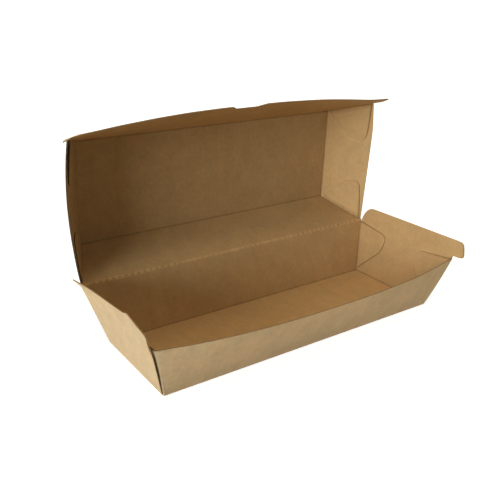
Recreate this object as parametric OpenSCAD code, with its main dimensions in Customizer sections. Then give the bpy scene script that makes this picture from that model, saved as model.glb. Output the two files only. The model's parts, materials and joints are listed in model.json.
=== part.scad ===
// Clamshell takeaway box of folded kraft board, standing open.
// A tray and its lid are each one folded and glued blank, joined along a perforated hinge crease.
// Millimetres. The origin is the middle of the floor's underside, +X runs along the box to the right,
// the front faces -Y and the hinge lies at the back.

/* [Board] */
// Thickness of the kraft board
board = 0.5; // [0.4:0.05:0.7]
// How far a crease rounds off each panel beside it
crease_round = 0.8; // [0.6:0.1:1.2]
// Gap that the glue fills between a corner tab and its end wall
glue_gap = 0.06; // [0.04:0.01:0.12]
// Gap between an end wall's cut side and the corner fold beside it
corner_gap = 0.8; // [0.6:0.1:1.4]

/* [Rim] */
// Length of the rim where the tray and the lid meet
rim_length = 208; // [200:1:220]
// Width of the rim, from its front edge to the hinge
rim_width = 82; // [74:1:90]

/* [Tray] */
// Length of the floor between its end creases
floor_length = 188; // [176:1:194]
// Width of the floor between its side creases
floor_width = 62.6; // [54:0.2:70]
// Height of the rim above the floor
tray_depth = 33.2; // [28:0.2:40]
// How far the front wall's free edge bows out at its middle
tray_front_bow = 8.2; // [0:0.2:10]
// How far the left end wall is pushed out at its back corner
tray_left_push = 1.3; // [1.2:0.1:3]

/* [Tray lips] */
// Height of the lip above the rim at its front end
tray_lip_front = 11; // [7:0.5:14]
// Height of the lip above the rim at its back end
tray_lip_back = 10; // [7:0.5:14]
// Reach of the lip's ear past the front corner, at the ear's foot
tray_ear = 9; // [5:0.2:10]
// How much less the ear reaches at its top
tray_ear_lean = 4; // [0:0.2:4.4]
// Length of the round on the lip's back corner
lip_back_round = 12; // [6:1:20]
// How far the left lip flares out at its back corner
left_flare_back = 3.9; // [3.6:0.1:7]
// How far the left lip's edge is dented in at the kink behind its front third
left_dent = 1.4; // [0:0.1:1.6]
// How far the left lip's edge jumps out behind the kink
left_kink = 0.7; // [0:0.1:1.4]
// How far the edge of the front third curls back out over the dent
left_curl = 3.4; // [0:0.1:4]
// How far the left lip flares out at its ear
left_flare_front = 1.8; // [0:0.1:4]
// How far the foot of the left lip's ear is bent out
left_ear_bend = 3.4; // [0:0.1:4]

/* [Lid] */
// Length of the lid's panel between its end creases
lid_length = 184.2; // [174:0.2:192]
// Width of the lid's panel between its side creases
lid_width = 62; // [54:0.2:70]
// Depth of the lid from its panel to the rim
lid_depth = 31.4; // [26:0.2:38]
// Angle that the lid stands open, from closed
open_angle = 88.6; // [80:0.2:95]
// How far the lid's front wall bows out at its middle
lid_front_bow = 4.8; // [0:0.2:7]
// How far the lid's left end wall bows out
lid_left_bow = 3.1; // [0:0.1:4]
// How far the lid's left end wall stands out at its front corner
lid_left_spread = 2.6; // [0:0.1:4]
// How far the lid's left end wall stands out at its hinge corner
lid_left_heel = 0.8; // [0:0.1:1]
// How far the lid's right end wall bows out
lid_right_bow = 3.6; // [0:0.1:4]
// How far the lid's right end wall is drawn in at its hinge corner
lid_right_pinch = 1.2; // [0:0.1:1.6]

/* [Lid lip] */
// Height of the lid's front lip beyond the rim
lid_lip = 9; // [7:0.5:12]
// Reach of the lid lip's right ear past its corner
lid_ear_right = 7.6; // [4:0.2:9]
// Reach of the lid lip's left ear, which curls down
lid_ear_left = 4.4; // [3:0.2:9]
// How far the left ear curls down at its tip
lid_ear_droop = 3; // [0:0.1:4]
// Width of the thumb notch at the lip's edge
notch_width = 26; // [20:1:40]
// Depth of the thumb notch
notch_depth = 5; // [3:0.5:6]
// Length of each curved side of the thumb notch
notch_side = 7; // [4:0.5:9]

/* [Corner tabs] */
// Reach of a glued tab from its corner fold along the end wall
tab_reach = 26; // [18:1:30]
// How far a tab's tip lies below the rim
tab_drop = 6; // [3:0.5:9]
// How far above the panel a tab's lower edge turns up to its tip
tab_heel = 20; // [14:1:22]
// How far above the panel a tab leaves its corner fold
tab_foot = 2.6; // [2:0.2:5]

/* [Hinge] */
// How far each board edge stops short of the hinge line
hinge_gap = 0.25; // [0.2:0.05:0.4]
// Pitch of the perforation along the hinge
perforation_pitch = 3.9; // [3:0.1:6]
// Length of each cut in the perforation
perforation_cut = 2; // [1:0.1:2.4]
// Depth of each cut from the board's edge
perforation_depth = 0.45; // [0.3:0.05:0.8]

/* [Hidden] */

kraft = [0.69, 0.56, 0.40];
kraft_lid = [0.62, 0.49, 0.33];

// Power of a bow along a wall, and of its growth up the wall
bow_shape = 2.5;
bow_rise = 1.15;
// Shares of a lip's height where its ear starts and where it is bent in full, and how square its corners are
ear_start = 0.1;
ear_root = 0.2;
ear_corner = 4;
// Powers by which the ears, the lip's back round and the left wall's push fade away from their corners
front_ear_fade = 12;
end_ear_fade = 8;
round_fade = 3;
push_fade = 2;
// Place and length of the kink in the tray's left lip, from -1 at the front to 1 at the back
kink_at = -0.5;
kink_length = 0.08;
// Powers of the lip's front flare along the wall, of its curl along the wall and of the curl up the lip
flare_shape = 1.6;
curl_fade = 6;
curl_rise = 4;
// Place of each lid end wall's bow, from -1 at the hinge to 1 at the front, and how round the bow is
lid_left_peak = 0;
lid_left_shape = 2;
lid_right_peak = 0.56;
lid_right_shape = 1.15;
// Height of the blunt tip of a corner tab
tab_tip = 0.5;
// Places of the rows across the end walls, from -1 at the front to 1 at the back
tray_across = [-1, -0.9, -0.78, -0.64, kink_at, kink_at + kink_length, -0.2, 0.1, 0.4, 0.7, 1];
lid_across = [for (k = [-4:4]) k / 4];
// Steps up a wall, round a lip, along a tab, along half a side and down the notch
wall_steps = 3;
lip_steps = 7;
tab_steps = 6;
side_steps = 8;
notch_steps = 5;
// Sides of a perforation cut
cut_sides = 8;

tray_side_lean = atan((rim_width - floor_width) / 2 / tray_depth);
lid_side_lean = atan((rim_width - lid_width) / 2 / lid_depth);
// The hinge line, where the outer faces of the two boards meet
hinge_y = rim_width / 2 + board / 2 / cos((tray_side_lean + lid_side_lean) / 2);
hinge_z = tray_depth + board / 2;
// From the middle of an end wall's board to the middle of the tab's board glued inside it
ply = board + glue_gap;

function mix(a, b, t) = a + (b - a) * t;
function unit(v) = v / norm(v);
function sum(v, i = 0) = i == len(v) - 1 ? v[i] : v[i] + sum(v, i + 1);
// Quadratic curve from a to c, drawn towards b
function curve(a, b, c, t) = mix(mix(a, b, t), mix(b, c, t), t);
// Smooth step from 0 to 1
function smooth(t) = let (s = min(1, max(0, t))) s * s * (3 - 2 * s);
// Shares of a lip's height from 0 to 1, closer together where the ear's corners round off
lip_shares = concat(0, [
    for (k = [0:lip_steps - 1]) mix(ear_start, 1, (1 - cos(180 * k / (lip_steps - 1))) / 2)
]);
// Share of an ear's reach at share t of the lip's height, a rectangle with rounded corners
function ear_shape(t) =
    let (s = (t - ear_start) / (1 - ear_start))
    s <= 0 ? 0 : pow(max(0, 1 - pow(abs(2 * s - 1), ear_corner)), 1 / ear_corner);

// The cuts of the perforation, centred on the hinge line, so that both boards lose the same
module perforation() {
    cuts = floor(rim_length / perforation_pitch) - 2;
    for (k = [0:cuts - 1])
        translate([(k - (cuts - 1) / 2) * perforation_pitch, hinge_y, hinge_z])
        rotate([0, 90, 0])
        cylinder(r = hinge_gap + perforation_depth, h = perforation_cut, center = true, $fn = cut_sides);
}

// One folded blank: a panel with four walls, and corner tabs from the front and back walls that lie
// inside the end walls. It is a grid of points on the board's middle surface. Columns run from the left
// end wall's free edge over the panel to the right one's, and rows from the front wall's to the back's.
// panel is [length, width], stops are the columns along half of it, as shares from 0 to 1, and across are
// the rows between the side creases, from -1 at the front to 1 at the back. front_lip and
// end_lip = [at the front, at the back] are how far those walls rise past the rim. front_ears = [left,
// right] and end_ear are the reaches of their ears. These functions move points of the walls outward:
// front_out(share, height, bend) and end_out(side, place, height, lip), all as shares of the wall, where
// bend is 1 at the tip of an ear.
module folded_blank(panel, depth, stops, across, front_lip, front_ears, front_notch, front_out,
                    end_lip, end_ear, end_ear_lean, end_out) {
    end_lean = atan((rim_length - panel.x) / 2 / depth);
    side_lean = atan((rim_width - panel.y) / 2 / depth);
    end_run = depth / cos(end_lean);
    side_run = depth / cos(side_lean);
    has_end_lip = end_lip[0] > 0;

    // Places down the front wall from its free edge to its crease, as [slant height, lip share]
    lip_rows = front_lip > 0 ? lip_steps : 0;
    front_rows = concat(
        [for (k = [0:1:lip_rows - 1]) [side_run, lip_shares[lip_rows - k]]],
        [for (k = [0:wall_steps]) [mix(side_run, crease_round, k / wall_steps), 0]]
    );
    // Slant heights up the back wall from its crease to the hinge
    back_rows = [for (k = [0:wall_steps - 1]) mix(crease_round, side_run - hinge_gap, k / (wall_steps - 1))];
    // Places down an end wall from its free edge to its crease, as [slant height, lip share]
    end_columns = has_end_lip
        ? concat(
            [for (k = [0:lip_steps - 1]) [end_run, lip_shares[lip_steps - k]]],
            [for (k = [0:wall_steps]) [mix(end_run, crease_round, k / wall_steps), 0]])
        : [for (k = [0:tab_steps]) [mix(end_run - hinge_gap, crease_round, k / tab_steps), 0]];

    shares = concat([for (k = [len(stops) - 1:-1:1]) -stops[k]], stops);
    ends = len(end_columns);
    main = len(shares);
    columns = 2 * ends + main;
    fronts = len(front_rows);
    backs = len(back_rows);
    middles = len(across);
    rows = fronts + middles + backs;

    // A point on a wall: along its crease, run up its slant height and out of its plane
    function side_point(facing, along, run, out) = [
        along,
        facing * (panel.y / 2 + run * sin(side_lean) + out * cos(side_lean)),
        run * cos(side_lean) - out * sin(side_lean)
    ];
    function end_point(side, along, run, out) = [
        side * (panel.x / 2 + run * sin(end_lean) + out * cos(end_lean)),
        along,
        run * cos(end_lean) - out * sin(end_lean)
    ];
    // Half the width between the side walls, and half the length between the corner folds, at height z
    function half_width(z) = panel.y / 2 + z * tan(side_lean);
    function half_length(side, facing, z) = panel.x / 2 + z * tan(end_lean)
        + (end_out(side, facing, z / depth, 0) - ply) / cos(end_lean);

    function front_point(share, row) =
        let (
            side = share < 0 ? -1 : 1,
            run = row[0] + row[1] * (front_lip - front_notch(share)),
            half = half_length(side, -1, row[0] * cos(side_lean)) - crease_round,
            fade = pow(abs(share), front_ear_fade),
            ear = (share < 0 ? front_ears[0] : front_ears[1]) * ear_shape(row[1]) * fade,
            bend = min(1, row[1] / ear_root) * fade
        )
        side_point(-1, share * half + side * ear, run, front_out(share, run / side_run, bend));
    function back_point(share, run) =
        let (side = share < 0 ? -1 : 1)
        side_point(1, share * (half_length(side, 1, run * cos(side_lean)) - crease_round), run, 0);
    function wall_point(side, place, column) =
        let (
            lip = column[1],
            half = half_width(column[0] * cos(end_lean)) - corner_gap,
            rise = lip * mix(end_lip[0], end_lip[1], (place + 1) / 2),
            ear = (end_ear - end_ear_lean * lip) * ear_shape(lip) * pow(max(0, -place), end_ear_fade),
            round = lip_back_round * (1 - sqrt(1 - lip * lip)) * pow(max(0, place), round_fade)
        )
        end_point(side, place * half - ear - round, column[0] + rise,
            end_out(side, place, column[0] / end_run, lip));
    // A tab lies one board and the glue inside its end wall, between an upper and a lower curve
    function tab_point(side, facing, out_share, down_share) =
        let (
            top_run = end_run - corner_gap,
            tip = half_width(depth) - tab_reach,
            tip_run = end_run - tab_drop,
            upper = curve([half_width(top_run * cos(end_lean)) - crease_round, top_run],
                [tip, top_run], [tip, tip_run], out_share),
            lower = curve([half_width(tab_foot) - crease_round, tab_foot],
                [tip, tab_heel], [tip, tip_run - tab_tip], out_share),
            spot = mix(upper, lower, down_share),
            place = facing * spot[0] / half_width(spot[1] * cos(end_lean))
        )
        end_point(side, facing * spot[0], spot[1], end_out(side, place, spot[1] / end_run, 0) - ply);

    function grid_point(i, j) =
        let (
            left = i < ends,
            right = i >= ends + main,
            end = left ? i : columns - 1 - i,
            side = left ? -1 : 1,
            out_share = 1 - end / (ends - 1),
            back_row = j - fronts - middles
        )
        j < fronts ? (left || right
            ? tab_point(side, -1, out_share, max(0, j - lip_rows) / wall_steps)
            : front_point(shares[i - ends], front_rows[j]))
        : back_row < 0 ? (left || right
            ? wall_point(side, across[j - fronts], end_columns[end])
            : [shares[i - ends] * (panel.x / 2 - crease_round),
                across[j - fronts] * (panel.y / 2 - crease_round), 0])
        : (left || right
            ? tab_point(side, 1, out_share, 1 - back_row / (backs - 1))
            : back_point(shares[i - ends], back_rows[back_row]));

    grid = [for (j = [0:rows - 1]) [for (i = [0:columns - 1]) grid_point(i, j)]];

    // The blank is cut through between the tabs and the end walls, and beside the front lip
    function is_board(i, j) =
        i >= 0 && j >= 0 && i < columns - 1 && j < rows - 1
        && ((i >= ends && i < ends + main - 1)
            || (j >= lip_rows && j != fronts - 1 && j != fronts + middles - 1));
    function facing_of(i, j) =
        unit(cross(grid[j + 1][i] - grid[j][i + 1], grid[j + 1][i + 1] - grid[j][i]));
    // Half the board's thickness at a point, mitred between the cells round it
    function half_board(i, j) =
        let (
            around = [for (cell = [[i - 1, j - 1], [i, j - 1], [i - 1, j], [i, j]])
                if (is_board(cell[0], cell[1])) facing_of(cell[0], cell[1])],
            mean = len(around) == 0 ? [0, 0, 1] : sum(around) / len(around)
        )
        mean * board / 2 / (mean * mean);

    offsets = [for (j = [0:rows - 1]) [for (i = [0:columns - 1]) half_board(i, j)]];
    points = concat(
        [for (j = [0:rows - 1]) for (i = [0:columns - 1]) grid[j][i] + offsets[j][i]],
        [for (j = [0:rows - 1]) for (i = [0:columns - 1]) grid[j][i] - offsets[j][i]]
    );
    function upper(i, j) = j * columns + i;
    function lower(i, j) = (rows + j) * columns + i;
    // The board's edge between two points, wherever the next cell is cut away
    function edge(i1, j1, i2, j2) = [
        [upper(i1, j1), upper(i2, j2), lower(i2, j2)],
        [upper(i1, j1), lower(i2, j2), lower(i1, j1)]
    ];
    faces = [for (j = [0:rows - 2]) for (i = [0:columns - 2]) if (is_board(i, j)) each concat(
        [
            [upper(i, j), upper(i + 1, j), upper(i + 1, j + 1)],
            [upper(i, j), upper(i + 1, j + 1), upper(i, j + 1)],
            [lower(i, j), lower(i + 1, j + 1), lower(i + 1, j)],
            [lower(i, j), lower(i, j + 1), lower(i + 1, j + 1)]
        ],
        is_board(i, j - 1) ? [] : edge(i + 1, j, i, j),
        is_board(i + 1, j) ? [] : edge(i + 1, j + 1, i + 1, j),
        is_board(i, j + 1) ? [] : edge(i, j + 1, i + 1, j + 1),
        is_board(i - 1, j) ? [] : edge(i, j, i, j + 1)
    )];
    polyhedron(points = points, faces = faces, convexity = 10);
}

// How far a front wall with this bow stands out at a share along it and a share of its height
function front_bow(bow, share, height) = bow * (1 - pow(abs(share), bow_shape)) * pow(height, bow_rise);

// How far the tray's left lip stands out at a place along the wall and a share of the lip's height:
// bent in at the kink, flared at both ends, and its edge curled back out over the front third
function left_lip_out(place, lip) =
    let (
        before = max(0, kink_at - place) / (1 + kink_at),
        past = smooth((place - kink_at) / kink_length),
        front_edge = mix(-left_dent, left_flare_front, pow(before, flare_shape)),
        back_edge = mix(left_kink - left_dent, left_flare_back, (place - kink_at) / (1 - kink_at)),
        curl = left_curl * (1 - pow(before, curl_fade)) * (1 - past),
        ear = left_ear_bend * pow(max(0, -place), end_ear_fade)
    )
    (mix(front_edge, back_edge, past) - curl) * lip + curl * pow(lip, curl_rise)
        + ear * ear_shape(lip) * (1 - lip);

// How far an end wall of the lid stands out along its rim, from its hinge corner to its front corner
function lid_end_bow(along, hinge_corner, front_corner, bow, peak, shape) =
    let (reach = along > peak ? 1 - peak : 1 + peak)
    mix(hinge_corner, front_corner, (along + 1) / 2) + bow * (1 - pow(abs(along - peak) / reach, shape));

module tray() {
    color(kraft)
    difference() {
        translate([0, 0, board / 2])
        folded_blank(
            panel = [floor_length, floor_width],
            depth = tray_depth,
            stops = [for (k = [0:side_steps]) sin(90 * k / side_steps)],
            across = tray_across,
            front_lip = 0,
            front_ears = [0, 0],
            front_notch = function (share) 0,
            front_out = function (share, height, bend) front_bow(tray_front_bow, share, height),
            end_lip = [tray_lip_front, tray_lip_back],
            end_ear = tray_ear,
            end_ear_lean = tray_ear_lean,
            end_out = function (side, place, height, lip)
                side > 0 ? 0
                : tray_left_push * pow(max(0, place), push_fade) * pow(height, bow_rise)
                    + left_lip_out(place, lip)
        );
        perforation();
    }
}

module lid() {
    // Columns that follow the notch's sides, then widen towards the corners
    half_rim = rim_length / 2;
    notch_half = notch_width / 2;
    notch_stops = [
        for (k = [0:notch_steps]) (notch_half - notch_side * (1 - k / notch_steps)) / half_rim
    ];
    corner_stops = [
        for (k = [1:side_steps - 1]) mix(notch_half / half_rim, 1, sin(90 * k / (side_steps - 1)))
    ];
    color(kraft_lid)
    difference() {
        translate([0, hinge_y, hinge_z])
        rotate([-open_angle, 0, 0])
        translate([0, -hinge_y, lid_depth])
        mirror([0, 0, 1])
        folded_blank(
            panel = [lid_length, lid_width],
            depth = lid_depth,
            stops = concat(0, notch_stops, corner_stops),
            across = lid_across,
            front_lip = lid_lip,
            front_ears = [lid_ear_left, lid_ear_right],
            front_notch = function (share)
                notch_depth * smooth((notch_half - abs(share) * half_rim) / notch_side),
            front_out = function (share, height, bend)
                front_bow(lid_front_bow, share, height) - (share < 0 ? lid_ear_droop * bend * bend : 0),
            end_lip = [0, 0],
            end_ear = 0,
            end_ear_lean = 0,
            end_out = function (side, place, height, lip)
                pow(height, bow_rise) * (side < 0
                    ? lid_end_bow(-place, lid_left_heel, lid_left_spread,
                        lid_left_bow, lid_left_peak, lid_left_shape)
                    : lid_end_bow(-place, -lid_right_pinch, 0,
                        lid_right_bow, lid_right_peak, lid_right_shape))
        );
        perforation();
    }
}

tray();
lid();
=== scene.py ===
"""Clamshell takeaway box of folded kraft board, standing open. The tray and the lid are each folded up from a
flat die-cut blank, and a perforated hinge strip joins them. All lengths are in metres."""

import json
import math
from functools import cache

import bmesh
import bpy
from bpy.props import FloatProperty, FloatVectorProperty, PointerProperty
from mathutils import Matrix, Vector, geometry, noise


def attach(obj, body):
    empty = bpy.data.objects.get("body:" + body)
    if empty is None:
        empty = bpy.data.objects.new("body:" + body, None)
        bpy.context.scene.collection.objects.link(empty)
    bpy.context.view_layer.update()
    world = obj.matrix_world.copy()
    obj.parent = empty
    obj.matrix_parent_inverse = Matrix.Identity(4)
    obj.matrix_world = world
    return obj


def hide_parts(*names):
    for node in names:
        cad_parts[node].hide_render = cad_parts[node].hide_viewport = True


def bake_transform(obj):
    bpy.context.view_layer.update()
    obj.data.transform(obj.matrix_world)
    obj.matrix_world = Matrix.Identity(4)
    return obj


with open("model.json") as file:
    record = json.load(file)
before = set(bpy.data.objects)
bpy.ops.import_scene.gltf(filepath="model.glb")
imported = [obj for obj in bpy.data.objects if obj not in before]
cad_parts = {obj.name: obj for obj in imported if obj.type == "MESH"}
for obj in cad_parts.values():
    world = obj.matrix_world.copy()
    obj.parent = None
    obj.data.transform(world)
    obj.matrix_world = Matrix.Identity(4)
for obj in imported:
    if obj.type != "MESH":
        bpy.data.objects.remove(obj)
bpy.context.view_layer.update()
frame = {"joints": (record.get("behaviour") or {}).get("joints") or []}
HINGE = frame["joints"][0]["pos_m"]

bl_info = {
    "name": "Kraft Takeaway Box",
    "version": (1, 0, 0),
    "blender": (4, 5, 0),
    "location": "View3D > Sidebar > Takeaway Box",
    "description": "Builds an open clamshell box from folded kraft board",
    "category": "Add Mesh",
}

MM = 0.001
# Power of a bow along a wall, and of its growth up the wall
BOW_SHAPE = 2.5
BOW_RISE = 1.15
# Shares of a lip's height where its ear starts and where it is bent in full, and how square its corners are
EAR_START = 0.1
EAR_ROOT = 0.2
EAR_CORNER = 4
# How far inside its corner an ear starts to curl
EAR_CURL = 2 * MM
# Place and length of the kink in the tray's left lip, from -1 at the front to 1 at the back
KINK_AT = -0.5
KINK_LENGTH = 0.08
# Height of the blunt tip of a corner tab
TAB_TIP = 0.5 * MM
# How far a crease's mark reaches on either side of it, and how strong it is at the crease's sides. The mark
# is painted shade on the inner face and a paler tint on the outer.
MARK = 0.5 * MM
CREASE_SIDE = 0.6
# Share of a tab's edge that is straight before it rounds its corner
TAB_TURN = 0.86
# Shares of the way down a tab where the shade painted along its upper edge ends and the paint along its lower
# edge starts, shade on the tray and light on the lid
TAB_MARKS_AT = (0.045, 0.965)
# How strongly a blank's columns crowd towards its corners
CROWDING = 0.6
# Waves in the flat board, as waves per metre and strength
WAVES = ((26, 1.0), (61, 0.5))
# The board lies still at its creases and waves in full this far from them
STILL = 12 * MM
# Heights over a panel below which a point is on it, and above which it is on a wall
ON_PANEL = 0.2 * MM
ON_WALL = 2 * MM
# How near its straight form an end wall's point lies, and how much farther off its bow takes it with height
ON_END = 3 * MM
ON_END_BOW = 0.05
# How dark the shade painted inside the tray's front left slot is
SLOT_PAINTED_SHADE = -1.9
# Points round the hinge's fold inside, and how far the points beside the fold outside lie from it
ARC = 7
SLIT = 0.15 * MM
# How deep a cut goes into the board at the fold, as a share of it, and the power of its shape across it
CUT_DEPTH = 0.8
CUT_SHAPE = 1.6
# Gap between the hinge strip's ends and the rim's
STRIP_GAP = 0.1 * MM
# Least share of its colour that the board keeps where painted shade darkens it
DARKEST = 0.05
# The photograph's camera: its place, and its yaw, pitch and roll in degrees
CAMERA_PLACE = (-0.2261, -0.2858, 0.1960)
CAMERA_TURN = (35.677, 22.433, 1.546)
# Soft lights: name, setting, width in degrees, colour and the direction that they come from
LIGHTS = (
    ("Key light", "key", 34, (0.72, 0.83, 1.0), (-1.0, -0.33, 0.15)),
    ("Fill light", "fill", 30, (1.0, 0.86, 0.68), (0.383, -0.663, 0.643)),
    ("Top light", "top", 40, (1.0, 0.91, 0.79), (0, 0, 1)),
)
ROOM_COLOUR = (0.35, 0.7, 1, 1)


def length(name, description, default_mm, low_mm=0.0, high_mm=300.0):
    """A length property, whose default is given in millimetres."""
    return FloatProperty(
        name=name,
        description=description,
        default=default_mm * MM,
        min=low_mm * MM,
        max=high_mm * MM,
        precision=4,
        unit="LENGTH",
    )


def linear(red, green, blue):
    """A colour as Blender keeps it, from its usual 0 to 255 values."""
    return [((c / 255 + 0.055) / 1.055) ** 2.4 if c > 10 else c / 3295 for c in (red, green, blue)]


def colour(name, description, *rgb):
    return FloatVectorProperty(
        name=name, description=description, default=linear(*rgb), min=0, max=1, subtype="COLOR"
    )


def amount(name, description, default, high=2.0):
    return FloatProperty(
        name=name, description=description, default=default, min=0, max=high, subtype="FACTOR"
    )


class BoardSettings(bpy.types.PropertyGroup):
    thickness: length("Thickness", "Thickness of the kraft board", 0.5, 0.3, 1)
    crease_round: length("Crease round", "How far a crease rounds off each panel beside it", 0.55, 0.4, 1.5)
    glue_gap: length("Glue gap", "Gap that the glue fills between a tab and its end wall", 0.06, 0.02, 0.2)
    corner_gap: length("Corner gap", "Gap between an end wall's cut side and the corner fold", 0.8, 0.4, 2)
    cockle: length("Cockle", "How far the flat parts of the board wave in and out", 0.22, 0, 1)
    rim_length: length("Rim length", "Length of the rim where the tray and the lid meet", 208)
    rim_width: length("Rim width", "Width of the rim, from its front edge to the hinge", 82)
    outside: colour("Outside", "Colour of the board's outer face", 217, 183, 136)
    inside: colour("Inside", "Colour of the board's inner face", 185, 144, 90)
    edge: colour("Cut edge", "Colour of the board's cut edge", 138, 106, 68)
    mottle: amount("Mottle", "How strongly the board's colour is mottled", 1)
    crease_wear_and_shade: amount("Crease wear", "How strongly the creases show", 1)


class TabSettings(bpy.types.PropertyGroup):
    reach: length("Reach", "Reach of a glued tab from its corner fold along the end wall", 26.8)
    drop: length("Tip drop", "How far a tab's tip lies below the rim", 6.8)
    slant: length("Slant", "How much lower a tab's upper edge lies at its outer corner", 3)
    heel: length("Heel", "How far above the panel a tab's lower edge turns up to its tip", 20)
    foot: length("Foot", "How far above the panel a tab leaves its corner fold", 1.5)


class TraySettings(bpy.types.PropertyGroup):
    floor_length: length("Floor length", "Length of the floor between its end creases", 188)
    floor_width: length("Floor width", "Width of the floor between its side creases", 62.6)
    depth: length("Depth", "Height of the rim above the floor", 33.2)
    front_bow: length("Front bow", "How far the front wall's free edge bows out at its middle", 8.2)
    left_push: length("Left push", "How far the left end wall is pushed out at its back corner", 0.6)
    right_swell: length("Right swell", "How far the right end wall swells out halfway up its front", 1.2)
    lip_front: length("Lip at the front", "Height of the lip above the rim at its front end", 11)
    lip_back: length("Lip at the back", "Height of the lip above the rim at its back end", 10)
    ear: length("Ear", "Reach of the lip's ear past the front corner, at the ear's foot", 9)
    ear_lean: length("Ear lean", "How much less the ear reaches at its top", 4)
    back_round: length("Back round", "Length of the round on the lip's back corner", 7.5)
    left_flare_back: length("Left flare at the back", "How far the left lip flares out at its back", 4)
    left_flare_front: length("Left flare at the front", "How far the left lip flares out at its ear", 0.9)
    left_dent: length("Left dent", "How far the left lip's edge is dented in at the kink", 1.3)
    left_kink: length("Left kink", "How far the left lip's edge jumps out behind the kink", 0.7)
    left_curl: length("Left curl", "How far the edge of the front third curls back out", 1.2)
    left_gape: length("Left tab gape", "How far the front left tab stands off its end wall", 0.8)
    slot_wide: length("Front left slot", "How much wider the front left slot is", 0.3)
    slot_top: length("Front left slot top", "How much the front left slot widens at the rim", 1.2)
    left_ear_bend: length("Left ear bend", "How far the foot of the left lip's ear is bent out", 2.15)


class LidSettings(bpy.types.PropertyGroup):
    panel_length: length("Panel length", "Length of the lid's panel between its end creases", 184.2)
    panel_width: length("Panel width", "Width of the lid's panel between its side creases", 62)
    depth: length("Depth", "Depth of the lid from its panel to the rim", 31.4)
    open_angle: FloatProperty(
        name="Open angle",
        description="Angle that the lid stands open, from closed",
        default=math.radians(88.6),
        min=0,
        max=math.pi,
        subtype="ANGLE",
    )
    front_bow: length("Front bow", "How far the front wall bows out at its middle", 4.8)
    left_bow: length("Left bow", "How far the left end wall bows out", 3.1)
    left_spread: length("Left spread", "How far the left end wall stands out at its front corner", 2.6)
    left_heel: length("Left heel", "How far the left end wall stands out at its hinge corner", 0.5)
    right_bow: length("Right bow", "How far the right end wall bows out", 3.6)
    right_pinch: length("Right pinch", "How far the right end wall is drawn in at its hinge corner", 1.2)
    lip: length("Lip", "Height of the front lip beyond the rim", 9)
    ear_right: length("Right ear", "Reach of the lip's right ear past its corner", 7.6)
    ear_left: length("Left ear", "Reach of the lip's left ear, which curls down", 5.8)
    left_gape: length("Left tab gape", "How far the front left tab stands off its end wall", 1)
    front_gap: length("Front gap", "Gap between an end wall and the front lip's corner", 0.2)
    lip_lift_left: length("Lip lift at the left", "How far the lip's edge bends up near its left ear", 0.6)
    lip_lift_right: length("Lip lift at the right", "How far the lip's edge bends up near its right ear", 1.3)
    ear_droop: length("Ear droop", "How far the left ear curls down at its tip", 1.8)
    notch_width: length("Notch width", "Width of the thumb notch at the lip's edge", 26)
    notch_depth: length("Notch depth", "Depth of the thumb notch", 5)
    notch_side: length("Notch side", "Length of each curved side of the thumb notch", 7)


class HingeSettings(bpy.types.PropertyGroup):
    reach: length("Reach", "How far the hinge strip reaches along each wall", 1, 0.5, 3)
    pitch: length("Pitch", "Pitch of the perforation along the hinge", 3.9, 2, 8)
    cut: length("Cut", "Length of each cut in the perforation", 2, 0.5, 4)
    cut_end: length("Cut end", "Length over which a cut closes at each end", 0.25, 0.1, 0.5)


class StageSettings(bpy.types.PropertyGroup):
    floor: colour("Floor", "Colour of the floor", 216, 209, 192)
    floor_size: length("Floor size", "Length of the floor's sides", 24000, 1000, 60000)
    floor_glow: amount("Floor glow", "Light that the camera sees in the floor besides what falls on it", 0.8)
    key: amount("Key light", "Strength of the soft, cool light from the left", 4.15, 10)
    fill: amount("Fill light", "Strength of the soft, warm light from the front", 0.22, 10)
    top: amount("Top light", "Strength of the soft light from above", 1.24, 10)
    room: amount("Room light", "Strength of the even light from all round", 0.1)


def mix(a, b, t):
    return a + (b - a) * t


def smooth(t):
    t = min(1.0, max(0.0, t))
    return t * t * (3 - 2 * t)


def curve(a, b, c, t):
    """A point on the quadratic curve from a to c, drawn towards b."""
    return a.lerp(b, t).lerp(b.lerp(c, t), t)


def cornered(a, b, c, t):
    """A point on the way from a to c, straight for the first half and then round past b."""
    turn = a.lerp(b, TAB_TURN)
    return a.lerp(turn, 2 * t) if t < 0.5 else curve(turn, b, c, 2 * t - 1)


def ear_shape(t):
    """Share of an ear's reach at share t of the lip's height, a rectangle with rounded corners."""
    s = (t - EAR_START) / (1 - EAR_START)
    return 0.0 if s <= 0 else max(0.0, 1 - abs(2 * s - 1) ** EAR_CORNER) ** (1 / EAR_CORNER)


def front_bow(bow, share, height):
    """How far a front wall stands out at a share along it and a share of its height."""
    return bow * (1 - abs(share) ** BOW_SHAPE) * height**BOW_RISE


def spread(count):
    """Shares from 0 to 1 that crowd towards 1."""
    return [mix(k / count, math.sin(math.pi / 2 * k / count), CROWDING) for k in range(count + 1)]


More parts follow.
